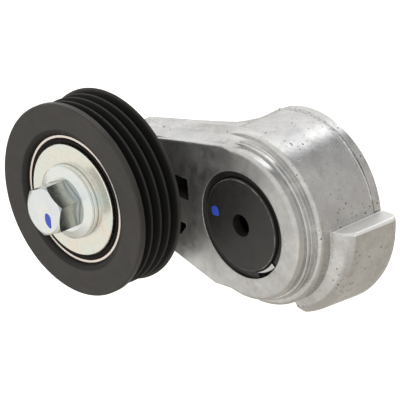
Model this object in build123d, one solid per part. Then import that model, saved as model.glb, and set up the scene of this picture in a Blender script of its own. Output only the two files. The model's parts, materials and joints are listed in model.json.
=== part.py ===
from build123d import *
import math
import os

# Automatic belt tensioner idler: a sprung arm that carries a four-rib pulley.
#
# Frame: the origin is the centre of the mounting bore on the base's mounting face.
# The pivot runs along Y, with the bolt side towards -Y, the pulley towards -X and +Z up.
# Every length is in millimetres and every angle in degrees, seen from the bolt side,
# counted from +X towards +Z.

# ---- driving dimensions -------------------------------------------------------------
CENTRE_DISTANCE = 46.5      # from the pivot to the pulley's axis
PULLEY_FRONT_Y = -56.8      # the pulley's front face
PULLEY_R = 30.0             # flanges
PULLEY_WIDTH = 16.6
FRONT_FLANGE = 2.05
RIB_PITCH = 3.56            # poly-V, PK section
RIB_COUNT = 4
CREST_R = 29.3
VALLEY_R = 26.1
BEARING_R = 20.0            # 6203: 17 x 40 x 12
BEARING_BORE_R = 8.5
BEARING_WIDTH = 12.0
BALL_COUNT = 8
BALL_R = 3.375
PITCH_R = 14.25
SEAL_R = 19.15
LIP_R = 18.3
OUTER_SHOULDER_R = 16.5
INNER_SHOULDER_R = 12.1
CAGE_INNER_R = 12.9
CAGE_OUTER_R = 15.6
HEX_FLATS = 14.0            # M10 flange bolt
HEAD_HEIGHT = 8.5           # the hexagon, above the flange
HEX_TURN = 26.5             # how the hexagon happens to stand
BOLT_R = 5.0
MOUNTING_R = 3.5
SHAFT_R = 9.0
HUB_FACE_Y = -31.5          # the arm's front face
BARREL_R = 27.1
ARM_BACK_Y = -16.7
ARM_END_R = 13.8
OPENING_R = 16.7
PLATE_R = 14.5
KEY_START = -64.0           # the key in the friction ring's gap
KEY_END = -34.0
LUG_R = 33.3                # about its own centre
LUG_SHIFT = 1.4             # from the pivot to that centre, along +X and +Z
BASE_THICKNESS = 3.1
PIN_X = 17.5
PIN_R = 3.0
PIN_LENGTH = 5.0
PIN_SHOULDER_Y = 0.2
PIN_SHANK_R = 2.6
PIN_RELIEF_R = 3.8
PIN_SHANK_LENGTH = 4.2

# ---- clearances -----------------------------------------------------------------------
FIT = 0.03                  # between two pieces of one body
RUNNING = 0.06              # between a shaft and the bore that turns on it
GAP = 0.3                   # between bodies that never touch

# ---- stations along the pivot, from the front ------------------------------------------
PLATE_FRONT_Y = HUB_FACE_Y - 0.4
PLATE_BACK_Y = PLATE_FRONT_Y + 3.0
WEB_FRONT_Y = -26.9
WEB_BACK_Y = -24.2
NOSE_ROOT_Y = HUB_FACE_Y + 3.2
BARREL_FRONT_Y = HUB_FACE_Y + 5.8
CUP_BACK_Y = -BASE_THICKNESS - GAP
HUB_BACK_Y = -6.6
CUP_R = 23.3                # the cup's inside wall
ARM_HUB_R = 14.0            # the arm's hub tube inside the cup
BUSHING_R = 11.3
NOSE_R = 23.6
NOSE_ROUND = 1.3
SHOULDER_R = 24.8

# ---- stations along the pulley's axis ---------------------------------------------------
BEARING_FRONT_Y = PULLEY_FRONT_Y + 1.4
BEARING_BACK_Y = BEARING_FRONT_Y + BEARING_WIDTH
BEARING_MID_Y = BEARING_FRONT_Y + BEARING_WIDTH / 2
SHIELD_THICKNESS = 1.0
SHIELD_R = 17.36
WASHER_THICKNESS = 1.3
WASHER_R = 11.4
SHIELD_FRONT_Y = BEARING_FRONT_Y - SHIELD_THICKNESS
WASHER_FRONT_Y = SHIELD_FRONT_Y - WASHER_THICKNESS
BOSS_FRONT_Y = BEARING_BACK_Y + SHIELD_THICKNESS
BOSS_R = 11.5
SPIGOT_FRONT_Y = BEARING_FRONT_Y + 1.0
BOLT_TIP_Y = -25.0
BOLT_HOLE_END_Y = -22.5

# ---- the stop: a lug on the arm hides a tab on the base ----------------------------------
LUG_START = -66.5
LUG_END = 6.5
POCKET_MARGIN = 4.0         # lug wall left at each end of its pocket
POCKET_R = 30.2
POCKET_FRONT_Y = -13.0
LUG_FRONT_Y = -21.0
LUG_BACK_Y = -0.6
TAB_R = POCKET_R - GAP
TAB_INNER_R = BARREL_R + FIT + 0.15
TAB_FRONT_Y = POCKET_FRONT_Y + GAP
TAB_ANGLE = 13.0
BUMPER_ANGLE = 5.0
STOP_GAP_ANGLE = 0.6

# ---- the torsion spring --------------------------------------------------------------------
WIRE_R = 2.0
COIL_R = 18.6
COIL_PITCH = 4.3
COIL_TURNS = 3.6
COIL_BACK_Y = -6.4

os.makedirs("parts", exist_ok=True)


def at_pulley(shape):
    """Move a shape made about the pivot to the pulley's axis."""
    return Pos(-CENTRE_DISTANCE, 0, 0) * shape


def turned(points, rounds=None):
    """Revolve a closed (radius, y) outline about Y; rounds maps a corner to its radius."""
    outline = make_face(Polyline(*points, close=True))
    for corner, radius in (rounds or {}).items():
        target = Vector(*points[corner])
        near = [v for v in outline.vertices() if (Vector(v.X, v.Y) - target).length < 1e-4]
        outline = fillet(near, radius)
    return revolve(outline, Axis.Y, 360)


def tube(outer, inner, front, back):
    """A plain ring about Y, from y = front to y = back."""
    return turned([(inner, front), (outer, front), (outer, back), (inner, back)])


def rod(radius, front, back):
    """A plain cylinder about Y."""
    return Pos(0, (front + back) / 2, 0) * Rot(90, 0, 0) * Cylinder(radius, back - front)


def prism(sketch, front, back):
    """Extrude a sketch drawn in X and Z from y = back to y = front."""
    return extrude(Plane.XZ.offset(-back) * sketch, back - front)


def sector(points, start, end):
    """Sweep a closed (radius, y) outline about Y between two angles."""
    face = make_face(Polyline(*points, close=True))
    return Rot(0, -start, 0) * revolve(face, Axis.Y, -(end - start))


# ---- arm ---------------------------------------------------------------------------------------
def bridged(hub_x, hub_r, end_x, end_r):
    """Two circles on the arm's centre line, joined by their tangents."""
    hub = Pos(hub_x, 0) * Circle(hub_r)
    end = Pos(end_x, 0) * Circle(end_r)
    return make_hull(hub.edges() + end.edges())


def arm_outline():
    """The arm's front face: nose and pulley end, with a blunt corner over and under the nose."""
    nose = Circle(NOSE_R - NOSE_ROUND)
    end = Pos(-CENTRE_DISTANCE, -1.3) * Circle(ARM_END_R + 0.2)
    over = Pos(-8.5, 21.0) * Circle(2.0)
    under = Pos(-11.4, 1.5 - NOSE_R) * Circle(1.5)
    return make_hull(nose.edges() + end.edges() + over.edges() + under.edges())


def gusset():
    """The web that flares from the arm's front rim to its back, then dies into the barrel."""
    front = bridged(-5.0, NOSE_R - 1.3, -CENTRE_DISTANCE, ARM_END_R - 0.3)
    shoulder = bridged(-4.5, NOSE_R + 1.1, -CENTRE_DISTANCE, ARM_END_R - 0.6)
    crown = bridged(-4.5, BARREL_R - 0.2, -30.0, 17.3)
    widest = bridged(0, BARREL_R - 1.4, -CENTRE_DISTANCE - 3.0, ARM_END_R - 1.3)
    stations = [
        (HUB_FACE_Y + 1.0, front),
        (BARREL_FRONT_Y, shoulder),
        (BARREL_FRONT_Y + 1.6, crown),
        (ARM_BACK_Y - 1.5, widest),
        (ARM_BACK_Y, widest),
        (ARM_BACK_Y + 3.7, bridged(0, BARREL_R - 0.8, -19.0, 19.6)),
        (ARM_BACK_Y + 11.0, bridged(0, BARREL_R - 0.6, -3.0, 23.4)),
    ]
    web = None
    for (near_y, near), (far_y, far) in zip(stations, stations[1:]):
        step = loft([Plane.XZ.offset(-near_y) * near, Plane.XZ.offset(-far_y) * far], ruled=True)
        web = step if web is None else web + step
    return web


def barrel():
    """Nose, stepped shoulder and round spring housing, as one turned body."""
    bead_y = NOSE_ROOT_Y + 1.2
    return turned(
        [
            (0, HUB_FACE_Y),
            (NOSE_R, HUB_FACE_Y),
            (NOSE_R, NOSE_ROOT_Y),
            (SHOULDER_R - 0.3, NOSE_ROOT_Y),
            (SHOULDER_R - 0.3, bead_y),
            (SHOULDER_R, bead_y),
            (SHOULDER_R, BARREL_FRONT_Y),
            (BARREL_R, BARREL_FRONT_Y),
            (BARREL_R, CUP_BACK_Y),
            (0, CUP_BACK_Y),
        ],
        {1: NOSE_ROUND, 3: 0.4, 5: 0.15, 7: 1.2},
    )


def end_edges(body, angle):
    """The edges of a swept body's end face that stand clear of the barrel."""
    def at_end(edge):
        points = [edge @ t for t in (0, 0.5, 1)]
        return all(
            abs(math.degrees(math.atan2(p.Z, p.X)) - angle) < 0.05
            and math.hypot(p.X, p.Z) > BARREL_R + 0.3
            for p in points
        )

    return body.edges().filter_by(at_end)


def lug():
    """The lug at the barrel's lower right, bevelled at its front; it bulges towards its top."""
    inner_r = BARREL_R - 2.0
    body = sector(
        [
            (inner_r, LUG_FRONT_Y - 0.6),
            (inner_r + 0.3, LUG_FRONT_Y - 0.6),
            (BARREL_R + 0.5, LUG_FRONT_Y),
            (LUG_R - 3.1, LUG_FRONT_Y + 0.7),
            (LUG_R - 2.6, LUG_FRONT_Y + 1.1),
            (LUG_R - 1.2, LUG_FRONT_Y + 2.6),
            (LUG_R - 0.8, LUG_FRONT_Y + 3.2),
            (LUG_R - 0.65, LUG_FRONT_Y + 4.2),
            (LUG_R, LUG_BACK_Y - 2.8),
            (LUG_R - 0.5, LUG_BACK_Y - 1.1),
            (LUG_R - 1.9, LUG_BACK_Y),
            (inner_r, LUG_BACK_Y),
        ],
        LUG_START - 3.5,
        LUG_END - 0.5,
    )
    body = fillet(end_edges(body, LUG_END - 0.5), 0.7)
    body = fillet(end_edges(body, LUG_START - 3.5), 1.1)
    return Pos(LUG_SHIFT, 0, LUG_SHIFT) * body


def lug_pocket():
    """The space inside the lug that the base's stop tab stands in."""
    return sector(
        [
            (BARREL_R + FIT, POCKET_FRONT_Y),
            (POCKET_R, POCKET_FRONT_Y),
            (POCKET_R, 1.0),
            (BARREL_R + FIT, 1.0),
        ],
        LUG_START + POCKET_MARGIN,
        LUG_END - POCKET_MARGIN,
    )


def lightening_pockets():
    """Two cored pockets in the arm's front face, with a rib left between them."""
    depth_y = HUB_FACE_Y + 9.0
    upper = make_face(
        Polyline((-32.8, 6.6), (-23.2, 6.6), (-22.3, -0.4), (-32.8, -0.4), close=True)
    )
    lower = make_face(
        Polyline((-32.8, -8.2), (-22.8, -8.2), (-25.9, -12.7), (-32.8, -11.6), close=True)
    )
    return [
        prism(fillet(s.vertices(), 0.8), HUB_FACE_Y - 1, depth_y) for s in (upper, lower)
    ]


def arm_casting():
    """Die-cast arm: pulley seat, arm, nose and spring housing in one piece."""
    arm = prism(arm_outline(), HUB_FACE_Y, ARM_BACK_Y)
    rim = arm.edges().filter_by(lambda e: e.center().Y < HUB_FACE_Y + 0.01)
    arm = fillet(rim, 0.7)
    solid = arm + gusset() + barrel() + lug()
    solid -= at_pulley(rod(BOLT_R + FIT, HUB_FACE_Y - 1, BOLT_HOLE_END_Y))
    solid -= rod(OPENING_R, HUB_FACE_Y - 1, WEB_FRONT_Y)
    solid += ring_key()
    solid -= rod(BUSHING_R + FIT, HUB_FACE_Y - 1, 1)
    solid -= tube(CUP_R, ARM_HUB_R, WEB_BACK_Y, CUP_BACK_Y + 1)
    solid -= rod(ARM_HUB_R + 1, HUB_BACK_Y, CUP_BACK_Y + 1)
    solid -= lug_pocket()
    for pocket in lightening_pockets():
        solid -= pocket
    # the base's rim turns inside the lug
    solid -= tube(BARREL_R + GAP, CUP_R - 1, CUP_BACK_Y, 1)
    return solid


def bearing_spigot():
    """Turned sleeve on the arm's face: a shoulder behind the bearing and a seat inside it."""
    return at_pulley(
        turned(
            [
                (BOLT_R + FIT, SPIGOT_FRONT_Y),
                (BEARING_BORE_R - FIT - 0.4, SPIGOT_FRONT_Y),
                (BEARING_BORE_R - FIT, SPIGOT_FRONT_Y + 0.4),
                (BEARING_BORE_R - FIT, BOSS_FRONT_Y),
                (BOSS_R - 0.4, BOSS_FRONT_Y),
                (BOSS_R, BOSS_FRONT_Y + 0.4),
                (BOSS_R, HUB_FACE_Y),
                (BOLT_R + FIT, HUB_FACE_Y),
            ]
        )
    )


def pivot_bushing():
    """Plain nylon-lined bush pressed in the arm's hub; it turns on the shaft."""
    return tube(BUSHING_R, SHAFT_R + RUNNING, WEB_FRONT_Y, HUB_BACK_Y)


def front_thrust_washer():
    """Nylon washer between the front plate and the arm's web."""
    return tube(PLATE_R - 0.2, SHAFT_R + RUNNING, PLATE_BACK_Y + 0.1, WEB_FRONT_Y)


def rear_thrust_washer():
    """Nylon washer between the arm's hub and the base."""
    return tube(ARM_HUB_R - 0.2, SHAFT_R + RUNNING, HUB_BACK_Y, HUB_BACK_Y + 1.4)


def ring_key():
    """The casting's wedge-shaped key, which stands in the friction ring's gap."""
    steps = 8
    inner = []
    outer = []
    for i in range(steps + 1):
        angle = math.radians(KEY_START + (KEY_END - KEY_START) * i / steps)
        reach = PLATE_R + GAP + 0.2 + 1.4 * i / steps
        inner.append(((PLATE_R + GAP) * math.cos(angle), (PLATE_R + GAP) * math.sin(angle)))
        outer.append((reach * math.cos(angle), reach * math.sin(angle)))
    wedge = make_face(Polyline(*inner, *reversed(outer), close=True))
    return prism(wedge, HUB_FACE_Y + 0.35, WEB_FRONT_Y + 1)


def friction_ring():
    """Split black ring round the front plate, with its gap at the lower right."""
    play = 1.5
    ring = tube(OPENING_R - FIT, PLATE_R + GAP, HUB_FACE_Y + 0.8, WEB_FRONT_Y)
    split = sector(
        [
            (PLATE_R - 1, HUB_FACE_Y - 1),
            (OPENING_R + 1, HUB_FACE_Y - 1),
            (OPENING_R + 1, WEB_FRONT_Y + 1),
            (PLATE_R - 1, WEB_FRONT_Y + 1),
        ],
        KEY_START - play,
        KEY_END + play,
    )
    return ring - split


def spring_liner():
    """Nylon sleeve on the arm's hub that keeps the coils centred."""
    return tube(COIL_R - WIRE_R - GAP, ARM_HUB_R + FIT, WEB_BACK_Y + 0.05, HUB_BACK_Y)


# ---- base ------------------------------------------------------------------------------------------
def base_casting():
    """Round base plate with a hub pad, a spring ledge, a stop tab and a pin hole."""
    pad_front = HUB_BACK_Y + 1.4 + 0.1
    solid = turned(
        [
            (0, 0),
            (BARREL_R - 0.5, 0),
            (BARREL_R, -0.5),
            (BARREL_R, -BASE_THICKNESS),
            (CUP_R - GAP, -BASE_THICKNESS),
            (CUP_R - GAP, COIL_BACK_Y + WIRE_R),
            (ARM_HUB_R + 1.5, COIL_BACK_Y + WIRE_R),
            (ARM_HUB_R - 0.2, pad_front),
            (0, pad_front),
        ]
    )
    tab_start = LUG_START + POCKET_MARGIN + STOP_GAP_ANGLE + BUMPER_ANGLE
    solid += sector(
        [
            (TAB_INNER_R, TAB_FRONT_Y),
            (TAB_R, TAB_FRONT_Y),
            (TAB_R, -0.5),
            (TAB_INNER_R, -0.5),
        ],
        tab_start,
        tab_start + TAB_ANGLE,
    )
    solid += sector(
        [
            (BARREL_R - 2, -BASE_THICKNESS),
            (TAB_R, -BASE_THICKNESS),
            (TAB_R, -0.5),
            (BARREL_R - 2, -0.5),
        ],
        tab_start,
        tab_start + TAB_ANGLE,
    )
    solid -= rod(SHAFT_R + FIT, -10, 1)
    solid -= Pos(PIN_X, 0, 0) * rod(PIN_SHANK_R + FIT, -10, 1)
    solid -= Pos(PIN_X, 0, 0) * rod(PIN_RELIEF_R, -0.5, 1)
    return solid


def locating_pin():
    """Steel pin that stops the base turning; its pressed shank is the thinner end."""
    lead = 0.6
    pin = turned(
        [
            (0, -PIN_SHANK_LENGTH),
            (PIN_SHANK_R, -PIN_SHANK_LENGTH),
            (PIN_SHANK_R, PIN_SHOULDER_Y),
            (PIN_R, PIN_SHOULDER_Y),
            (PIN_R, PIN_LENGTH - lead),
            (PIN_R - lead, PIN_LENGTH),
            (0, PIN_LENGTH),
        ]
    )
    return Pos(PIN_X, 0, 0) * pin


def pivot_shaft():
    """Hollow steel shaft that the mounting bolt passes through."""
    return tube(SHAFT_R, MOUNTING_R, PLATE_BACK_Y, 0)


def front_plate():
    """Black steel disc that closes the pivot and holds the arm on its shaft."""
    return turned(
        [
            (MOUNTING_R, PLATE_FRONT_Y),
            (PLATE_R - 0.35, PLATE_FRONT_Y),
            (PLATE_R, PLATE_FRONT_Y + 0.35),
            (PLATE_R, PLATE_BACK_Y),
            (MOUNTING_R, PLATE_BACK_Y),
        ]
    )


def stop_bumper():
    """Rubber pad on the end of the stop tab."""
    start = LUG_START + POCKET_MARGIN + STOP_GAP_ANGLE
    return sector(
        [
            (TAB_INNER_R + 0.2, TAB_FRONT_Y + 0.3),
            (TAB_R - 0.2, TAB_FRONT_Y + 0.3),
            (TAB_R - 0.2, -BASE_THICKNESS),
            (TAB_INNER_R + 0.2, -BASE_THICKNESS),
        ],
        start,
        start + BUMPER_ANGLE,
    )


def torsion_spring():
    """Round-wire coil between the base's ledge and the cup's floor."""
    height = COIL_PITCH * COIL_TURNS
    helix = Helix(COIL_PITCH, height, COIL_R)
    wire_face = Plane(helix @ 0, z_dir=helix % 0) * Circle(WIRE_R)
    coil = sweep(wire_face, path=helix)
    return Pos(0, COIL_BACK_Y, 0) * Rot(90, 0, 0) * coil


def damping_band():
    """Split nylon band that rubs on the cup's wall as the arm moves."""
    return sector(
        [
            (COIL_R + WIRE_R + 1.1, -20.5),
            (CUP_R - GAP, -20.5),
            (CUP_R - GAP, -7.5),
            (COIL_R + WIRE_R + 1.1, -7.5),
        ],
        -160,
        150,
    )


def band_backing():
    """Thin spring-steel strip behind the damping band."""
    return sector(
        [
            (COIL_R + WIRE_R + 0.4, -19.5),
            (COIL_R + WIRE_R + 1.0, -19.5),
            (COIL_R + WIRE_R + 1.0, -8.5),
            (COIL_R + WIRE_R + 0.4, -8.5),
        ],
        -155,
        145,
    )


# ---- pulley ------------------------------------------------------------------------------------------
def pulley():
    """Four-rib pulley with plain flanges, bored for the bearing."""
    flat = 0.3
    slope = math.tan(math.radians(20))
    crest_half = RIB_PITCH / 2 - flat - (CREST_R - VALLEY_R) * slope
    first = PULLEY_FRONT_Y + FRONT_FLANGE + (PULLEY_R - VALLEY_R) * slope + flat
    back = PULLEY_FRONT_Y + PULLEY_WIDTH
    rim = [(PULLEY_R - 0.35, PULLEY_FRONT_Y), (PULLEY_R, PULLEY_FRONT_Y + 0.35)]
    rim.append((PULLEY_R, PULLEY_FRONT_Y + FRONT_FLANGE))
    for i in range(RIB_COUNT):
        middle = first + i * RIB_PITCH
        rim += [(VALLEY_R, middle - flat), (VALLEY_R, middle + flat)]
        if i < RIB_COUNT - 1:
            crest = middle + RIB_PITCH / 2
            rim.append((CREST_R - 0.15, crest - crest_half - 0.05))
            rim.append((CREST_R, crest - crest_half + 0.15))
            rim.append((CREST_R, crest + crest_half - 0.15))
            rim.append((CREST_R - 0.15, crest + crest_half + 0.05))
    last = first + (RIB_COUNT - 1) * RIB_PITCH + flat
    rim.append((PULLEY_R, last + (PULLEY_R - VALLEY_R) * slope))
    rim += [(PULLEY_R, back - 0.2), (PULLEY_R - 0.2, back)]
    recess = [(24.3, back), (24.0, back - 10.5), (22.6, back - 10.5), (22.4, back)]
    bore = [
        (BEARING_R + FIT + 0.3, back),
        (BEARING_R + FIT, back - 0.4),
        (BEARING_R + FIT, BEARING_FRONT_Y),
        (BEARING_R + 0.25, BEARING_FRONT_Y - 0.05),
        (BEARING_R + 0.4, PULLEY_FRONT_Y + 1.0),
        (BEARING_R + 0.8, PULLEY_FRONT_Y + 0.55),
        (BEARING_R + 1.4, PULLEY_FRONT_Y + 0.2),
        (BEARING_R + 2.3, PULLEY_FRONT_Y),
    ]
    return at_pulley(turned(rim + recess + bore))


def groove_cut():
    """The torus that the balls run in."""
    return Pos(0, BEARING_MID_Y, 0) * Rot(90, 0, 0) * Torus(PITCH_R, BALL_R + 0.1)


def bearing_outer_race():
    """Outer ring, with a counterbore at each side for its seal."""
    depth = 1.5
    ring = turned(
        [
            (SEAL_R + FIT, BEARING_FRONT_Y),
            (BEARING_R - 0.12, BEARING_FRONT_Y),
            (BEARING_R, BEARING_FRONT_Y + 0.12),
            (BEARING_R, BEARING_BACK_Y - 0.3),
            (BEARING_R - 0.3, BEARING_BACK_Y),
            (SEAL_R + FIT, BEARING_BACK_Y),
            (SEAL_R + FIT, BEARING_BACK_Y - depth),
            (OUTER_SHOULDER_R, BEARING_BACK_Y - depth),
            (OUTER_SHOULDER_R, BEARING_FRONT_Y + depth),
            (SEAL_R + FIT, BEARING_FRONT_Y + depth),
        ]
    )
    return at_pulley(ring - groove_cut())


def bearing_inner_race():
    """Inner ring, clamped between the two dust shields."""
    ring = turned(
        [
            (BEARING_BORE_R, BEARING_FRONT_Y + 0.3),
            (BEARING_BORE_R + 0.3, BEARING_FRONT_Y),
            (INNER_SHOULDER_R, BEARING_FRONT_Y),
            (INNER_SHOULDER_R, BEARING_BACK_Y),
            (BEARING_BORE_R + 0.3, BEARING_BACK_Y),
            (BEARING_BORE_R, BEARING_BACK_Y - 0.3),
        ]
    )
    return at_pulley(ring - groove_cut())


def bearing_seal(outside, way):
    """Rubber seal with a raised lip round it; way is -1 at the front and 1 at the rear."""
    inside = outside - way * 0.9
    lip = outside + way * 0.2
    return at_pulley(
        turned(
            [
                (INNER_SHOULDER_R + 0.1, inside),
                (SEAL_R, inside),
                (SEAL_R, outside),
                (LIP_R + 0.4, outside),
                (LIP_R + 0.3, lip),
                (LIP_R - 0.3, lip),
                (LIP_R - 0.4, outside),
                (INNER_SHOULDER_R + 0.1, outside),
            ]
        )
    )


def ball_positions():
    """Angles of the balls round the bearing."""
    return [i * 360 / BALL_COUNT for i in range(BALL_COUNT)]


def bearing_balls():
    """The ring of steel balls."""
    balls = [
        Rot(0, -a, 0) * Pos(PITCH_R, BEARING_MID_Y, 0) * Sphere(BALL_R)
        for a in ball_positions()
    ]
    return Compound(children=[at_pulley(b) for b in balls])


def cage_half(side):
    """Half of a pressed ribbon cage: a flat ring that bulges round each ball."""
    shell = tube(CAGE_OUTER_R, CAGE_INNER_R, BEARING_MID_Y - 0.75, BEARING_MID_Y + 0.75)
    for a in ball_positions():
        shell += Rot(0, -a, 0) * Pos(PITCH_R, BEARING_MID_Y, 0) * Sphere(BALL_R + 0.85)
    shell &= tube(CAGE_OUTER_R, CAGE_INNER_R, BEARING_MID_Y - 6, BEARING_MID_Y + 6)
    for a in ball_positions():
        place = Rot(0, -a, 0) * Pos(PITCH_R, BEARING_MID_Y, 0)
        shell -= place * Sphere(BALL_R + 0.12)
    near, far = (-6, -0.02) if side < 0 else (0.02, 6)
    half = shell & tube(
        CAGE_OUTER_R + 1, CAGE_INNER_R - 1, BEARING_MID_Y + near, BEARING_MID_Y + far
    )
    for rivet in rivet_rods(0.5 + FIT, 2):
        half -= rivet
    return at_pulley(half)


def rivet_rods(radius, half_length):
    """Rods through the cage midway between neighbouring balls."""
    step = 180 / BALL_COUNT
    return [
        Rot(0, -(a + step), 0)
        * Pos(PITCH_R, 0, 0)
        * rod(radius, BEARING_MID_Y - half_length, BEARING_MID_Y + half_length)
        for a in ball_positions()
    ]


def cage_rivets():
    """The rivets that hold the two cage halves together."""
    return Compound(children=[at_pulley(r) for r in rivet_rods(0.5, 0.95)])


def dust_shield(front):
    """Flat plated disc beside the bearing."""
    disc = turned(
        [
            (BEARING_BORE_R + FIT, front),
            (SHIELD_R - 0.25, front),
            (SHIELD_R, front + 0.25),
            (SHIELD_R, front + SHIELD_THICKNESS),
            (BEARING_BORE_R + FIT, front + SHIELD_THICKNESS),
        ]
    )
    return at_pulley(disc)


def front_dust_shield():
    """The front shield is bored for the bolt, not for the spigot."""
    disc = turned(
        [
            (BOLT_R + 0.2, SHIELD_FRONT_Y),
            (SHIELD_R - 0.25, SHIELD_FRONT_Y),
            (SHIELD_R, SHIELD_FRONT_Y + 0.25),
            (SHIELD_R, BEARING_FRONT_Y),
            (BOLT_R + 0.2, BEARING_FRONT_Y),
        ]
    )
    return at_pulley(disc)


def bolt_washer():
    """Thick plain washer under the bolt's flange."""
    return at_pulley(
        turned(
            [
                (BOLT_R + 0.2, WASHER_FRONT_Y),
                (WASHER_R - 0.2, WASHER_FRONT_Y),
                (WASHER_R, WASHER_FRONT_Y + 0.2),
                (WASHER_R, SHIELD_FRONT_Y),
                (BOLT_R + 0.2, SHIELD_FRONT_Y),
            ]
        )
    )


def pulley_bolt():
    """M10 flange bolt; its hex head is chamfered and its flange is conical."""
    flange_top_y = WASHER_FRONT_Y - 2.1
    head_y = flange_top_y - HEAD_HEIGHT
    corner_r = HEX_FLATS / 2 / math.cos(math.radians(30))
    hexagon = prism(RegularPolygon(corner_r, 6, rotation=HEX_TURN), head_y, flange_top_y + 1)
    hexagon &= turned(
        [
            (0, head_y),
            (HEX_FLATS / 2 - 0.5, head_y),
            (corner_r + 0.1, head_y + 1.15),
            (corner_r + 0.1, flange_top_y + 1),
            (0, flange_top_y + 1),
        ]
    )
    flange = turned(
        [
            (0, WASHER_FRONT_Y),
            (11.1, WASHER_FRONT_Y),
            (11.3, WASHER_FRONT_Y - 0.2),
            (11.3, WASHER_FRONT_Y - 0.9),
            (11.0, WASHER_FRONT_Y - 1.15),
            (corner_r + 0.6, flange_top_y),
            (0, flange_top_y),
        ]
    )
    return at_pulley(hexagon + flange + rod(BOLT_R, WASHER_FRONT_Y, BOLT_TIP_Y))


NODES = {
    "base_casting": base_casting(),
    "pivot_shaft": pivot_shaft(),
    "front_plate": front_plate(),
    "locating_pin": locating_pin(),
    "stop_bumper": stop_bumper(),
    "torsion_spring": torsion_spring(),
    "damping_band": damping_band(),
    "band_backing": band_backing(),
    "arm_casting": arm_casting(),
    "bearing_spigot": bearing_spigot(),
    "pivot_bushing": pivot_bushing(),
    "front_thrust_washer": front_thrust_washer(),
    "rear_thrust_washer": rear_thrust_washer(),
    "friction_ring": friction_ring(),
    "spring_liner": spring_liner(),
    "pulley": pulley(),
    "bearing_outer_race": bearing_outer_race(),
    "bearing_inner_race": bearing_inner_race(),
    "front_seal": bearing_seal(BEARING_FRONT_Y + 0.3, -1),
    "rear_seal": bearing_seal(BEARING_BACK_Y - 0.3, 1),
    "bearing_balls": bearing_balls(),
    "front_cage_half": cage_half(-1),
    "rear_cage_half": cage_half(1),
    "cage_rivets": cage_rivets(),
    "front_dust_shield": front_dust_shield(),
    "rear_dust_shield": dust_shield(BEARING_BACK_Y),
    "bolt_washer": bolt_washer(),
    "pulley_bolt": pulley_bolt(),
}

for name, shape in NODES.items():
    export_step(shape, f"parts/{name}.step")
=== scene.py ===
"""Belt tensioner idler: looks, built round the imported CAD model.

Everything is in metres in the CAD frame: the pivot runs along Y, the bolt side faces -Y
and the pulley stands towards -X.
"""

import json
import math
import random

import bpy
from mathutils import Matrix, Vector


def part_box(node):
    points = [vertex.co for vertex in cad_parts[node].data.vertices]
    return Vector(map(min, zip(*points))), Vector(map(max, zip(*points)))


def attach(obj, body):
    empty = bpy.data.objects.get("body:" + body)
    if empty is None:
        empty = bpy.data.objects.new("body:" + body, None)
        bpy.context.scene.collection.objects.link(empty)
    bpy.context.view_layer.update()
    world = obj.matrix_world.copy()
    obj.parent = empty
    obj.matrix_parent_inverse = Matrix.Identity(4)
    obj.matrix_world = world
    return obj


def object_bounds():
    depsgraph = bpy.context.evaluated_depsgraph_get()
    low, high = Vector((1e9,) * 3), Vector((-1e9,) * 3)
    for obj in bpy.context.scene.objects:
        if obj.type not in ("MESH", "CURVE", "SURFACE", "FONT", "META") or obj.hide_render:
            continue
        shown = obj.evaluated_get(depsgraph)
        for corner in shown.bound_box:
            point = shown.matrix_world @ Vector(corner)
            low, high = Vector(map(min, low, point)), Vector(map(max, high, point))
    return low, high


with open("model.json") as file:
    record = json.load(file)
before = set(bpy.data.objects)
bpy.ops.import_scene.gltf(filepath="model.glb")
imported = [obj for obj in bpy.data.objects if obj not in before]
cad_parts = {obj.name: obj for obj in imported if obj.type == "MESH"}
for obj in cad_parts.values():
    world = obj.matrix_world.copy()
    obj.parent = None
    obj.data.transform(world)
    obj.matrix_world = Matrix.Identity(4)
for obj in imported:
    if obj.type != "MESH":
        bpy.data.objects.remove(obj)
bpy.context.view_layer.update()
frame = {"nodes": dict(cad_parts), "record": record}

MM = 0.001


# ---- places read from the frame -------------------------------------------------------
def middle(node):
    """Centre of a CAD node's box."""
    low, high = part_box(node)
    return (low + high) / 2


def front_y(node):
    """The node's face towards the bolt side."""
    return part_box(node)[0].y


BODY_OF = {
    node: body for body, nodes in frame["record"]["behaviour"]["bodies"].items() for node in nodes
}
PULLEY_X = middle("pulley").x
PULLEY_FRONT = front_y("pulley")
PLATE_FRONT = front_y("front_plate")
BOLT_FRONT = front_y("pulley_bolt")
HUB_FACE = front_y("arm_casting")

# ---- places on the casting, bolt and pulley ---------------------------------------------
NOSE_BACK = HUB_FACE + 5.6 * MM         # where the turned nose ends
BARREL_R = 27.1 * MM
BARREL_REAR = (-6.0 * MM, -5.0 * MM)    # painted corner shade fades out between these
CORED_X = (-33.2 * MM, -22.0 * MM)
CORED_Z = (-12.9 * MM, 7.0 * MM)
CORED_DEPTH = (0.4 * MM, 9.3 * MM)      # from the hub face
# painted light on the arm's face beside the hub fades in between the first pair and out between
# the second
FACE_LIGHT_START_X = (-32.0 * MM, -24.0 * MM)
FACE_LIGHT_END_X = (-12.0 * MM, -20.0 * MM)
LUG_INNER_R = 27.5 * MM
LUG_END_Z = (3.9 * MM, 7.0 * MM)        # the lug's upper end face, and its two bright edges
LUG_END_INNER_X = (28.4 * MM, 28.0 * MM)
LUG_END_OUTER_X = (33.2 * MM, 33.5 * MM)
SHOULDER_X = (-5.0 * MM, 11.0 * MM)     # the painted highlight at the left end of the stepped shoulder, with its centre and reach along X and Y
SHOULDER_Y = (-25.2 * MM, 2.6 * MM)     # its centre and reach along X and Y
SHOULDER_Z = (16.0 * MM, 22.0 * MM)
PLATE_RIM_INNER_R = (14.05 * MM, 14.12 * MM)
PLATE_RIM_OUTER_R = (14.3 * MM, 14.22 * MM)
HEX_R = 8.4 * MM
HEX_SIDES_Y = (BOLT_FRONT + 0.6 * MM, BOLT_FRONT + 8.5 * MM)
GROOVE_R = (28.9 * MM, 29.7 * MM)
BORE_MOUTH_R = (21.8 * MM, 22.3 * MM)
MOUNTING_BORE_R = 4.0 * MM


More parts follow.
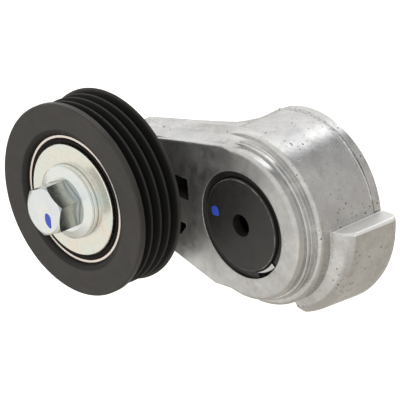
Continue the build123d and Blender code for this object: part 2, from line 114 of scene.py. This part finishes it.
# ---- shader helpers --------------------------------------------------------------------
class Shader:
    """A procedural material: one Principled shader and the nodes that feed it."""

    def __init__(self, name, **values):
        self.material = bpy.data.materials.new(name)
        self.material.use_nodes = True
        self.tree = self.material.node_tree
        self.bsdf = self.tree.nodes["Principled BSDF"]
        self.coords = self.node("ShaderNodeTexCoord").outputs["Object"]
        for socket, value in values.items():
            self.bsdf.inputs[socket.replace("_", " ")].default_value = value

    def node(self, kind, **settings):
        made = self.tree.nodes.new(kind)
        for key, value in settings.items():
            setattr(made, key, value)
        return made

    def link(self, source, target):
        self.tree.links.new(source, target)

    def mapped(self, scale=(1, 1, 1)):
        """Object coordinates, stretched along the axes."""
        mapping = self.node("ShaderNodeMapping")
        mapping.inputs["Scale"].default_value = scale
        self.link(self.coords, mapping.inputs["Vector"])
        return mapping.outputs["Vector"]

    def noise(self, size_mm, detail=3.0, rough=0.5, stretch=(1, 1, 1)):
        """Noise whose features are about size_mm across, from 0 to 1."""
        made = self.node("ShaderNodeTexNoise")
        made.inputs["Scale"].default_value = 1 / (size_mm * MM)
        made.inputs["Detail"].default_value = detail
        made.inputs["Roughness"].default_value = rough
        self.link(self.mapped(stretch), made.inputs["Vector"])
        return made.outputs["Fac"]

    def cells(self, size_mm, randomness=1.0):
        """Distance to the nearest of scattered points about size_mm apart."""
        made = self.node("ShaderNodeTexVoronoi")
        made.inputs["Scale"].default_value = 1 / (size_mm * MM)
        made.inputs["Randomness"].default_value = randomness
        self.link(self.coords, made.inputs["Vector"])
        return made.outputs["Distance"]

    def spread(self, source, low, high, to_low=0.0, to_high=1.0):
        """Rescale low..high to to_low..to_high, clamped."""
        made = self.node("ShaderNodeMapRange")
        for socket, value in zip(("From Min", "From Max", "To Min", "To Max"),
                                 (low, high, to_low, to_high)):
            made.inputs[socket].default_value = value
        self.link(source, made.inputs["Value"])
        return made.outputs["Result"]

    def maths(self, operation, first, second):
        """One sum on two values; each is a number or a socket."""
        made = self.node("ShaderNodeMath", operation=operation)
        for socket, value in zip(made.inputs, (first, second)):
            if isinstance(value, (int, float)):
                socket.default_value = value
            else:
                self.link(value, socket)
        return made.outputs["Value"]

    def blend(self, factor, first, second):
        """Mix two colours; each is a tuple or a socket."""
        made = self.node("ShaderNodeMix", data_type="RGBA")
        self.link(factor, made.inputs[0])
        for socket, value in ((made.inputs[6], first), (made.inputs[7], second)):
            if isinstance(value, tuple):
                socket.default_value = (*value, 1.0)
            else:
                self.link(value, socket)
        return made.outputs[2]

    def blend_value(self, factor, first, second):
        """Mix two values; each is a number or a socket."""
        made = self.node("ShaderNodeMix", data_type="FLOAT")
        self.link(factor, made.inputs[0])
        for socket, value in ((made.inputs[2], first), (made.inputs[3], second)):
            if isinstance(value, (int, float)):
                socket.default_value = value
            else:
                self.link(value, socket)
        return made.outputs[0]

    def axis(self, letter):
        """One object coordinate, in metres."""
        parts = self.node("ShaderNodeSeparateXYZ")
        self.link(self.coords, parts.inputs["Vector"])
        return parts.outputs[letter]

    def within(self, letter, low, high):
        """1 where a coordinate lies between two values, else 0."""
        place = self.axis(letter)
        above = self.maths("GREATER_THAN", place, low)
        below = self.maths("LESS_THAN", place, high)
        return self.times(above, below)

    def times(self, first, second):
        return self.maths("MULTIPLY", first, second)

    def near(self, letter, centre, reach):
        """1 where a coordinate equals centre, fading to 0 at reach from it."""
        away = self.maths("ABSOLUTE", self.maths("SUBTRACT", self.axis(letter), centre), 0.0)
        return self.spread(away, 0.25 * reach, reach, 1.0, 0.0)

    def crevices(self, reach_mm, low=0.35, high=0.8):
        """1 down in corners that are narrower than about reach_mm, 0 in the open."""
        made = self.node("ShaderNodeAmbientOcclusion", samples=6)
        made.inputs["Distance"].default_value = reach_mm * MM
        return self.spread(made.outputs["AO"], low, high, 1.0, 0.0)

    def bevel(self, radius):
        """Soft shading over the edges, radius in metres or a socket."""
        made = self.node("ShaderNodeBevel", samples=6)
        if isinstance(radius, float):
            made.inputs["Radius"].default_value = radius
        else:
            self.link(radius, made.inputs["Radius"])
        return made.outputs["Normal"]

    def axis_radius(self, x):
        """Distance from the axis along Y that passes through x, in metres."""
        return self.length(self.maths("SUBTRACT", self.axis("X"), x), self.axis("Z"))

    def length(self, first, second):
        """Length of a vector with two components at right angles."""
        total = self.maths("ADD", self.times(first, first), self.times(second, second))
        return self.maths("SQRT", total, 0.0)

    def colour(self, socket):
        self.link(socket, self.bsdf.inputs["Base Color"])

    def rough(self, socket):
        self.link(socket, self.bsdf.inputs["Roughness"])

    def bump(self, height, depth_mm, below=None):
        """Bump whose full height is depth_mm; below is a bump that it lies on."""
        made = self.node("ShaderNodeBump")
        made.inputs["Distance"].default_value = depth_mm * MM
        self.link(height, made.inputs["Height"])
        if below:
            self.link(below, made.inputs["Normal"])
        self.link(made.outputs["Normal"], self.bsdf.inputs["Normal"])
        return made.outputs["Normal"]


# ---- materials -------------------------------------------------------------------------
def cast_aluminium():
    """Satin die casting with soft edges, clusters of dark pits and a turned, shinier nose."""
    s = Shader("cast_aluminium", Metallic=1.0)
    height = s.axis("Y")
    across = s.axis("X")
    turned = s.spread(height, NOSE_BACK - 0.3 * MM, NOSE_BACK, 1.0, 0.0)
    face = s.spread(height, HUB_FACE + 0.05 * MM, HUB_FACE + 0.3 * MM, 1.0, 0.0)
    grain = s.noise(0.45, 3.0, 0.6)
    speckle = s.noise(1.6, 5.0, 0.65)

    # clouds, speckle and stains
    clouds = s.spread(s.noise(8.0, 4.0, 0.6), 0.36, 0.64)
    tone = s.blend(clouds, (0.54, 0.545, 0.555), (0.70, 0.705, 0.70))
    tone = s.blend(s.spread(speckle, 0.35, 0.70, 0.0, 0.45), tone, (0.52, 0.51, 0.50))
    stain = s.times(s.spread(s.noise(5.0, 6.0, 0.75), 0.54, 0.70), 0.65)
    tone = s.blend(stain, tone, (0.44, 0.40, 0.36))
    tone = s.blend(s.spread(grain, 0.5, 0.8, 0.0, 0.25), tone, (0.50, 0.49, 0.475))

    # clusters of pits, behind the nose only
    patches = s.spread(s.noise(9.0, 2.0, 0.5), 0.47, 0.57)
    pits = s.times(s.spread(s.cells(1.5), 0.26, 0.14), patches)
    pits = s.times(pits, s.spread(s.noise(2.0, 2.0, 0.5), 0.42, 0.52))
    pits = s.times(pits, s.maths("SUBTRACT", 1.0, turned))
    tone = s.blend(pits, tone, (0.17, 0.145, 0.13))

    # painted shade in the corners (an AO mask), less of it behind the nose and none at the rear
    corner_shade_weight = s.spread(height, NOSE_BACK - 0.3 * MM, NOSE_BACK, 0.6, 0.2)
    corner_shade_weight = s.times(corner_shade_weight, s.spread(height, *BARREL_REAR, 1.0, 0.0))
    tone = s.blend(s.times(s.crevices(1.0), corner_shade_weight), tone, (0.20, 0.185, 0.17))

    # painted light: part of the arm's face beside the hub, lightened
    face_painted_light = s.times(s.spread(across, *FACE_LIGHT_START_X), s.spread(across, *FACE_LIGHT_END_X))
    tone = s.blend(s.times(s.times(face_painted_light, face), 0.85), tone, (0.84, 0.85, 0.86))

    # painted highlight: the lug's end face lightened, with painted white lines along both its
    # edges
    outside = s.maths("GREATER_THAN", s.axis_radius(0.0), LUG_INNER_R)
    lug_end_painted_light = s.times(outside, s.within("Z", *LUG_END_Z))
    lug_end_painted_light = s.times(lug_end_painted_light, s.maths("GREATER_THAN", across, 0.0))
    edges = s.maths(
        "MAXIMUM", s.spread(across, *LUG_END_INNER_X), s.spread(across, *LUG_END_OUTER_X)
    )
    lug_end_highlight = s.blend(edges, (0.80, 0.80, 0.79), (1.0, 1.0, 1.0))
    tone = s.blend(s.times(lug_end_painted_light, 0.9), tone, lug_end_highlight)

    # painted highlight: the left end of the shoulder lightened
    shoulder_highlight = s.times(s.near("X", *SHOULDER_X), s.near("Y", *SHOULDER_Y))
    shoulder_highlight = s.times(shoulder_highlight, s.spread(s.axis("Z"), *SHOULDER_Z, 0.0, 0.75))
    tone = s.blend(shoulder_highlight, tone, (0.86, 0.86, 0.86))

    # painted shade: the cored pockets made dark and not metallic
    depth = (HUB_FACE + CORED_DEPTH[0], HUB_FACE + CORED_DEPTH[1])
    pocket_shade = s.times(s.within("X", *CORED_X), s.within("Z", *CORED_Z))
    pocket_shade = s.times(pocket_shade, s.within("Y", *depth))
    s.colour(s.blend(pocket_shade, tone, (0.07, 0.07, 0.07)))
    s.link(s.maths("SUBTRACT", 1.0, pocket_shade), s.bsdf.inputs["Metallic"])

    # gloss and fine relief
    patchy = s.noise(2.5, 4.0, 0.6)
    sides = s.blend_value(
        turned, s.spread(patchy, 0.3, 0.7, 0.20, 0.34), s.spread(patchy, 0.3, 0.7, 0.14, 0.23)
    )
    sides = s.blend_value(s.maths("MAXIMUM", shoulder_highlight, lug_end_painted_light), sides, 0.55)
    s.rough(s.blend_value(face, sides, s.spread(patchy, 0.3, 0.7, 0.36, 0.50)))
    low = s.bevel(s.spread(turned, 0.0, 1.0, 0.45 * MM, 0.3 * MM))
    low = s.bump(s.noise(5.0, 2.0, 0.5), 0.09, low)
    low = s.bump(speckle, 0.010, low)
    low = s.bump(grain, 0.003, low)
    s.bump(s.maths("SUBTRACT", 1.0, pits), 0.08, low)
    return s.material


def turned_steel(name, colour, roughness, x, pitch_mm=0.25, bore=None, soft_mm=0.12):
    """Steel with faint rings of turning about the axis at x, with painted shade (black) inside the
    radius bore.
    """
    s = Shader(name, Metallic=1.0)
    stain = s.spread(s.noise(4.0, 3.0, 0.6), 0.35, 0.7)
    darker = tuple(c * 0.90 for c in colour)
    tone = s.blend(stain, colour, darker)
    # painted shade: black down inside the bore
    if bore:
        inside = s.spread(s.axis_radius(x), bore, bore + 0.1 * MM, 1.0, 0.0)
        tone = s.blend(inside, tone, (0.03, 0.03, 0.03))
    s.colour(tone)
    s.rough(s.spread(s.noise(1.2, 3.0, 0.6), 0.3, 0.7, roughness - 0.04, roughness + 0.05))
    turns = s.times(s.axis_radius(x), math.tau / (pitch_mm * MM))
    s.bump(s.maths("SINE", turns, 0.0), 0.0008, s.bevel(soft_mm * MM))
    return s.material


def plated(name, colour, tints, roughness, soft_mm=0.12, flats=None):
    """Bright zinc plating with faint tinted clouds and painted shade in its corners.

    flats gives the y between which the bolt's hexagon sides get painted shade.
    """
    s = Shader(name, Metallic=1.0)
    clouds = s.noise(7.0, 2.0, 0.5)
    tone = s.blend(s.spread(clouds, 0.35, 0.5), tints[0], colour)
    tone = s.blend(s.spread(clouds, 0.5, 0.65), tone, tints[1])
    smudge = s.spread(s.noise(2.2, 5.0, 0.7), 0.52, 0.75, 0.0, 0.3)
    tone = s.blend(smudge, tone, tuple(c * 0.75 for c in colour))
    if flats:
        # painted shade on the hexagon's sides
        sides = s.maths("LESS_THAN", s.axis_radius(PULLEY_X), HEX_R)
        sides = s.times(sides, s.within("Y", *flats))
        tone = s.blend(s.times(sides, 0.8), tone, (0.42, 0.46, 0.45))
    # painted shade in the corners, from an AO mask
    s.colour(s.blend(s.times(s.crevices(0.8), 0.75), tone, (0.16, 0.16, 0.14)))
    s.rough(s.spread(s.noise(1.5, 3.0, 0.6), 0.3, 0.7, roughness - 0.04, roughness + 0.06))
    s.bump(s.noise(3.0, 2.0, 0.5), 0.008, s.bevel(soft_mm * MM))
    return s.material


def coated(name, colour, roughness, grain_mm=0.35):
    """Black coating over steel, with a fine orange peel and faint dust."""
    s = Shader(name, Metallic=0.0, Specular_IOR_Level=0.5)
    dust = s.spread(s.noise(6.0, 4.0, 0.6), 0.4, 0.75, 0.0, 0.35)
    s.colour(s.blend(dust, colour, tuple(c * 1.5 + 0.01 for c in colour)))
    s.rough(s.spread(s.noise(2.0, 3.0, 0.6), 0.3, 0.7, roughness - 0.07, roughness + 0.07))
    s.bump(s.noise(grain_mm, 2.0, 0.5), 0.012, s.bevel(0.25 * MM))
    return s.material


def pulley_coat():
    """The pulley's satin black, matt down in the grooves, with painted shade in the grooves and at
    the bore's mouth.
    """
    s = Shader("pulley_black", Metallic=0.0, Specular_IOR_Level=0.3)
    radius = s.axis_radius(PULLEY_X)
    inside = s.spread(s.axis("Y"), PULLEY_FRONT + 0.5 * MM, PULLEY_FRONT + 1.2 * MM)
    groove_shade = s.times(s.spread(radius, *GROOVE_R, 1.0, 0.0), inside)
    dust = s.spread(s.noise(6.0, 4.0, 0.6), 0.4, 0.75, 0.0, 0.4)
    tone = s.blend(dust, (0.044, 0.041, 0.038), (0.068, 0.062, 0.057))
    # painted shade down in the grooves
    tone = s.blend(groove_shade, tone, (0.004, 0.004, 0.004))
    # painted shade at the bore's mouth
    mouth_shade = s.spread(radius, *BORE_MOUTH_R, 0.85, 0.0)
    s.colour(s.blend(mouth_shade, tone, (0.006, 0.005, 0.004)))
    s.rough(s.blend_value(groove_shade, s.spread(s.noise(2.0, 3.0, 0.6), 0.3, 0.7, 0.38, 0.50), 0.7))
    s.bump(s.noise(0.4, 2.0, 0.5), 0.012, s.bevel(0.25 * MM))
    return s.material


def plate_coat():
    """Black plate at the pivot, its rim worn to bright steel in a thin broken line."""
    s = Shader("black_steel", Specular_IOR_Level=0.5)
    radius = s.axis_radius(0.0)
    rim = s.times(s.spread(radius, *PLATE_RIM_INNER_R), s.spread(radius, *PLATE_RIM_OUTER_R))
    worn = s.times(rim, s.spread(s.noise(2.5, 3.0, 0.6), 0.40, 0.60, 0.15, 0.8))
    scuffs = s.times(
        s.spread(s.noise(1.4, 5.0, 0.7, (1.0, 1.0, 3.0)), 0.60, 0.72, 0.0, 0.25),
        s.spread(s.noise(9.0, 2.0, 0.5), 0.45, 0.6),
    )
    clouds = s.spread(s.noise(8.0, 3.0, 0.6), 0.35, 0.7)
    tone = s.blend(clouds, (0.016, 0.0155, 0.015), (0.025, 0.024, 0.0225))
    tone = s.blend(scuffs, tone, (0.16, 0.16, 0.16))
    s.colour(s.blend(worn, tone, (0.35, 0.34, 0.33)))
    s.link(worn, s.bsdf.inputs["Metallic"])
    s.rough(s.blend_value(worn, s.spread(s.noise(2.0, 3.0, 0.6), 0.3, 0.7, 0.34, 0.48), 0.25))
    s.bump(s.noise(0.35, 2.0, 0.5), 0.01, s.bevel(0.25 * MM))
    return s.material


def moulded(name, colour, roughness, gloss=0.5):
    """Moulded rubber or nylon with a fine grain."""
    s = Shader(name, Metallic=0.0, Specular_IOR_Level=gloss)
    s.colour(s.blend(s.noise(3.0, 3.0, 0.6), colour, tuple(c * 0.8 for c in colour)))
    s.rough(s.spread(s.noise(1.0, 2.0, 0.5), 0.3, 0.7, roughness - 0.06, roughness + 0.06))
    s.bump(s.noise(0.25, 2.0, 0.6), 0.01)
    return s.material


MATERIALS = {
    "cast_aluminium": cast_aluminium(),
    "machined_steel": turned_steel(
        "machined_steel", (0.62, 0.61, 0.60), 0.30, 0.0, bore=MOUNTING_BORE_R
    ),
    "black_steel": plate_coat(),
    "pulley_black": pulley_coat(),
    "zinc_blue": plated(
        "zinc_blue", (0.82, 0.86, 0.86), ((0.78, 0.83, 0.85), (0.86, 0.86, 0.83)), 0.18,
        flats=HEX_SIDES_Y,
    ),
    "zinc_cream": plated(
        "zinc_cream", (0.82, 0.83, 0.75), ((0.79, 0.84, 0.79), (0.87, 0.81, 0.73)), 0.24
    ),
    "bearing_steel": turned_steel(
        "bearing_steel", (0.88, 0.80, 0.74), 0.24, PULLEY_X, soft_mm=0.05
    ),
    "polished_steel": turned_steel("polished_steel", (0.80, 0.80, 0.80), 0.12, PULLEY_X, 1.0),
    "cage_steel": turned_steel("cage_steel", (0.66, 0.64, 0.60), 0.3, PULLEY_X),
    "seal_rubber": moulded("seal_rubber", (0.008, 0.006, 0.005), 0.50, 0.15),
    "bumper_rubber": moulded("bumper_rubber", (0.02, 0.02, 0.02), 0.6),
    "spring_steel": coated("spring_steel", (0.07, 0.07, 0.07), 0.4, 0.6),
    "strip_steel": turned_steel("strip_steel", (0.45, 0.45, 0.46), 0.35, 0.0),
    "nylon_black": moulded("nylon_black", (0.012, 0.012, 0.012), 0.4),
    "nylon_natural": moulded("nylon_natural", (0.66, 0.62, 0.52), 0.45),
}


def dress_nodes():
    """Give every CAD node the material of its slot."""
    for part in frame["record"]["subparts"]:
        node = frame["nodes"][part["node"]]
        node.data.materials.clear()
        node.data.materials.append(MATERIALS[part["material_slot"]])


dress_nodes()


# ---- details ---------------------------------------------------------------------------
def piece(name, vertices, faces, body, material):
    """A smooth mesh that rides on a body."""
    mesh = bpy.data.meshes.new(name)
    mesh.from_pydata(vertices, [], faces)
    mesh.validate()
    for polygon in mesh.polygons:
        polygon.use_smooth = True
    mesh.materials.append(material)
    made = bpy.data.objects.new(name, mesh)
    bpy.context.scene.collection.objects.link(made)
    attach(made, body)


def paint_dot(name, centre, reach, tilt, lift, body):
    """A dab of paint on a face that looks towards -Y: domed, with a wavy edge."""
    rng = random.Random(name)
    phases = [rng.uniform(0, math.tau) for _ in range(3)]
    steps = 48
    rings = ((0.0, 1.0), (0.55, 0.95), (0.85, 0.7), (1.0, 0.0))
    vertices, faces = [], []
    for part, height in rings:
        for i in range(steps):
            a = math.tau * i / steps
            wave = 1 + sum(0.05 * math.sin((k + 2) * a + p) for k, p in enumerate(phases))
            u, w = part * wave * reach[0] * math.cos(a), part * wave * reach[1] * math.sin(a)
            x = centre[0] + u * math.cos(tilt) - w * math.sin(tilt)
            z = centre[2] + u * math.sin(tilt) + w * math.cos(tilt)
            vertices.append((x, centre[1] - lift * height, z))
    for ring in range(len(rings) - 1):
        for i in range(steps):
            j = (i + 1) % steps
            base = ring * steps
            faces.append((base + i, base + j, base + steps + j, base + steps + i))
    piece(name, vertices, faces, body, PAINT)


def seam_flash(name, y, radius, start, end, width, height, seed):
    """A ragged line of casting flash round the barrel, between two angles in degrees."""
    rng = random.Random(seed)
    waves = [(rng.uniform(3, 90), rng.uniform(0, math.tau), rng.uniform(0.3, 1)) for _ in range(9)]
    wander = random.Random(seed + "drift").uniform(0, math.tau)
    sunk = -0.02 * MM
    steps = 420
    vertices, faces = [], []
    for i in range(steps + 1):
        t = i / steps
        a = math.radians(start + (end - start) * t)
        rough = sum(g * math.sin(f * a + p) for f, p, g in waves) / 5
        fade = min(1, t * 12, (1 - t) * 12)
        tall = height * max(0.25, 0.6 + 0.6 * rough) * fade
        drift = 0.25 * width * math.sin(7 * a + wander)
        for across, up in ((-0.5, sunk), (-0.15, tall), (0.2, tall * 0.8), (0.5, sunk)):
            r = radius + up
            vertices.append((r * math.cos(a), y + across * width + drift, r * math.sin(a)))
    for i in range(steps):
        for k in range(3):
            base = i * 4 + k
            faces.append((base, base + 1, base + 5, base + 4))
    piece(name, vertices, faces, "arm", MATERIALS["cast_aluminium"])


PAINT = moulded("blue_paint", (0.04, 0.10, 0.68), 0.4)

paint_dot(
    "paint_dot_plate", (-10.8 * MM, PLATE_FRONT, 0.87 * MM), (1.5 * MM, 1.7 * MM),
    tilt=0.2, lift=0.06 * MM, body=BODY_OF["front_plate"],
)
paint_dot(
    "paint_dot_bolt", (PULLEY_X + 2.4 * MM, BOLT_FRONT, -1.8 * MM), (1.35 * MM, 2.3 * MM),
    tilt=0.40, lift=0.05 * MM, body=BODY_OF["pulley_bolt"],
)
seam_flash(
    "flash_front", y=-3.8 * MM, radius=BARREL_R, start=9, end=128,
    width=0.7 * MM, height=0.55 * MM, seed="front",
)
seam_flash(
    "flash_fine", y=-4.8 * MM, radius=BARREL_R, start=20, end=84,
    width=0.4 * MM, height=0.2 * MM, seed="fine",
)


# ---- stage, light and camera -----------------------------------------------------------
CAMERA_AZIMUTH = 46.23
CAMERA_ELEVATION = 26.68
CAMERA_DISTANCE = 1.5
CAMERA_LENS = 468.3
AIM = Vector((8.6 * MM, -56.7 * MM, 20.13 * MM))
FLOOR_DROP = 1.0
FLOOR_HALF_WIDTH = 8.0
FLOOR_TONES = ((0.62, 0.585, 0.53), (0.66, 0.625, 0.57))
FORE_FLOOR_TONE = (0.88, 0.86, 0.83)
FORE_FLOOR_Y = (-1.3, -0.4)     # the near floor's paler tone fades out between these
POOL_R = (0.40, 0.85)           # the white light round the aim fades out between these


def view_direction():
    """From the part towards the camera."""
    azimuth, elevation = math.radians(CAMERA_AZIMUTH), math.radians(CAMERA_ELEVATION)
    return Vector((
        math.sin(azimuth) * math.cos(elevation),
        -math.cos(azimuth) * math.cos(elevation),
        math.sin(elevation),
    ))


def backdrop():
    """A pale floor a metre below the part, glowing white where the lens meets it: painted light,
    from emission.
    """
    mesh = bpy.data.meshes.new("floor")
    size = FLOOR_HALF_WIDTH
    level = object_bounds()[0][2] - FLOOR_DROP
    mesh.from_pydata(
        [(-size, -size, level), (size, -size, level), (size, size, level), (-size, size, level)],
        [], [(0, 1, 2, 3)],
    )
    floor = bpy.data.objects.new("floor", mesh)
    bpy.context.scene.collection.objects.link(floor)
    s = Shader("floor", Roughness=0.95)
    fore = s.spread(s.axis("Y"), *FORE_FLOOR_Y, 1.0, 0.0)
    s.colour(s.blend(fore, s.blend(s.noise(400.0), *FLOOR_TONES), FORE_FLOOR_TONE))
    away = view_direction()
    pool = AIM - away * ((AIM.z - level) / away.z)
    across = s.maths("SUBTRACT", s.axis("X"), pool.x)
    along = s.maths("SUBTRACT", s.axis("Y"), pool.y)
    reach = s.length(across, along)
    # painted light: emission makes the floor glow in a pool round where the lens meets it, and
    # faintly over its near part
    s.bsdf.inputs["Emission Color"].default_value = (1, 1, 1, 1)
    glow = s.maths("MAXIMUM", s.spread(reach, *POOL_R, 0.8, 0.0), s.times(fore, 0.15))
    s.link(glow, s.bsdf.inputs["Emission Strength"])
    mesh.materials.append(s.material)


# World brightness and warmth against the sideways part of the direction, for the half
# behind the part: (x, brightness, blue share).
SKY_BEHIND = [
    (-0.95, 0.80, 0.98),
    (-0.60, 0.84, 0.98),
    (-0.36, 0.92, 0.98),
    (-0.31, 1.42, 1.00),
    (-0.12, 1.42, 1.00),
    (-0.06, 0.55, 1.00),
    (0.03, 0.22, 1.00),
    (0.14, 0.34, 0.99),
    (0.34, 0.47, 0.95),
    (1.00, 0.50, 0.90),
]
SKY_FRONT = (0.74, 0.73, 0.70)
SKY_PEAK = 1.5
SKY_GAIN = 1.25


def sky():
    """Soft light all round, with a bright panel over the back and a dark gap beside it."""
    world = bpy.data.worlds.new("studio")
    bpy.context.scene.world = world
    world.use_nodes = True
    tree = world.node_tree
    coords = tree.nodes.new("ShaderNodeTexCoord")
    parts = tree.nodes.new("ShaderNodeSeparateXYZ")
    tree.links.new(coords.outputs["Generated"], parts.inputs["Vector"])
    place = tree.nodes.new("ShaderNodeMapRange")
    place.inputs["From Min"].default_value = -1.0
    tree.links.new(parts.outputs["X"], place.inputs["Value"])
    ramp = tree.nodes.new("ShaderNodeValToRGB")
    ramp.color_ramp.interpolation = "LINEAR"
    while len(ramp.color_ramp.elements) < len(SKY_BEHIND):
        ramp.color_ramp.elements.new(0.5)
    for stop, (x, _, _) in zip(ramp.color_ramp.elements, SKY_BEHIND):
        stop.position = (x + 1) / 2
    for stop, (_, level, blue) in zip(ramp.color_ramp.elements, SKY_BEHIND):
        part = level / SKY_PEAK
        stop.color = (part, part * (1 + blue) / 2, part * blue, 1.0)
    tree.links.new(place.outputs["Result"], ramp.inputs["Fac"])
    behind = tree.nodes.new("ShaderNodeMapRange")
    behind.inputs["From Min"].default_value = -0.15
    behind.inputs["From Max"].default_value = 0.25
    tree.links.new(parts.outputs["Y"], behind.inputs["Value"])
    both = tree.nodes.new("ShaderNodeMix")
    both.data_type = "RGBA"
    tree.links.new(behind.outputs["Result"], both.inputs[0])
    both.inputs[6].default_value = (*(c / SKY_PEAK for c in SKY_FRONT), 1.0)
    tree.links.new(ramp.outputs["Color"], both.inputs[7])
    background = tree.nodes["Background"]
    background.inputs["Strength"].default_value = SKY_PEAK * SKY_GAIN
    tree.links.new(both.outputs[2], background.inputs["Color"])


def camera():
    """A long lens above and to the right of the bolt side."""
    data = bpy.data.cameras.new("camera")
    data.sensor_width = 36.0
    data.lens = CAMERA_LENS
    data.clip_end = 20.0
    eye = bpy.data.objects.new("camera", data)
    bpy.context.scene.collection.objects.link(eye)
    eye.location = AIM + view_direction() * CAMERA_DISTANCE
    eye.rotation_euler = (math.radians(90 - CAMERA_ELEVATION), 0, math.radians(CAMERA_AZIMUTH))
    bpy.context.scene.camera = eye


backdrop()
sky()
camera()
bpy.context.scene.view_settings.view_transform = "Standard"
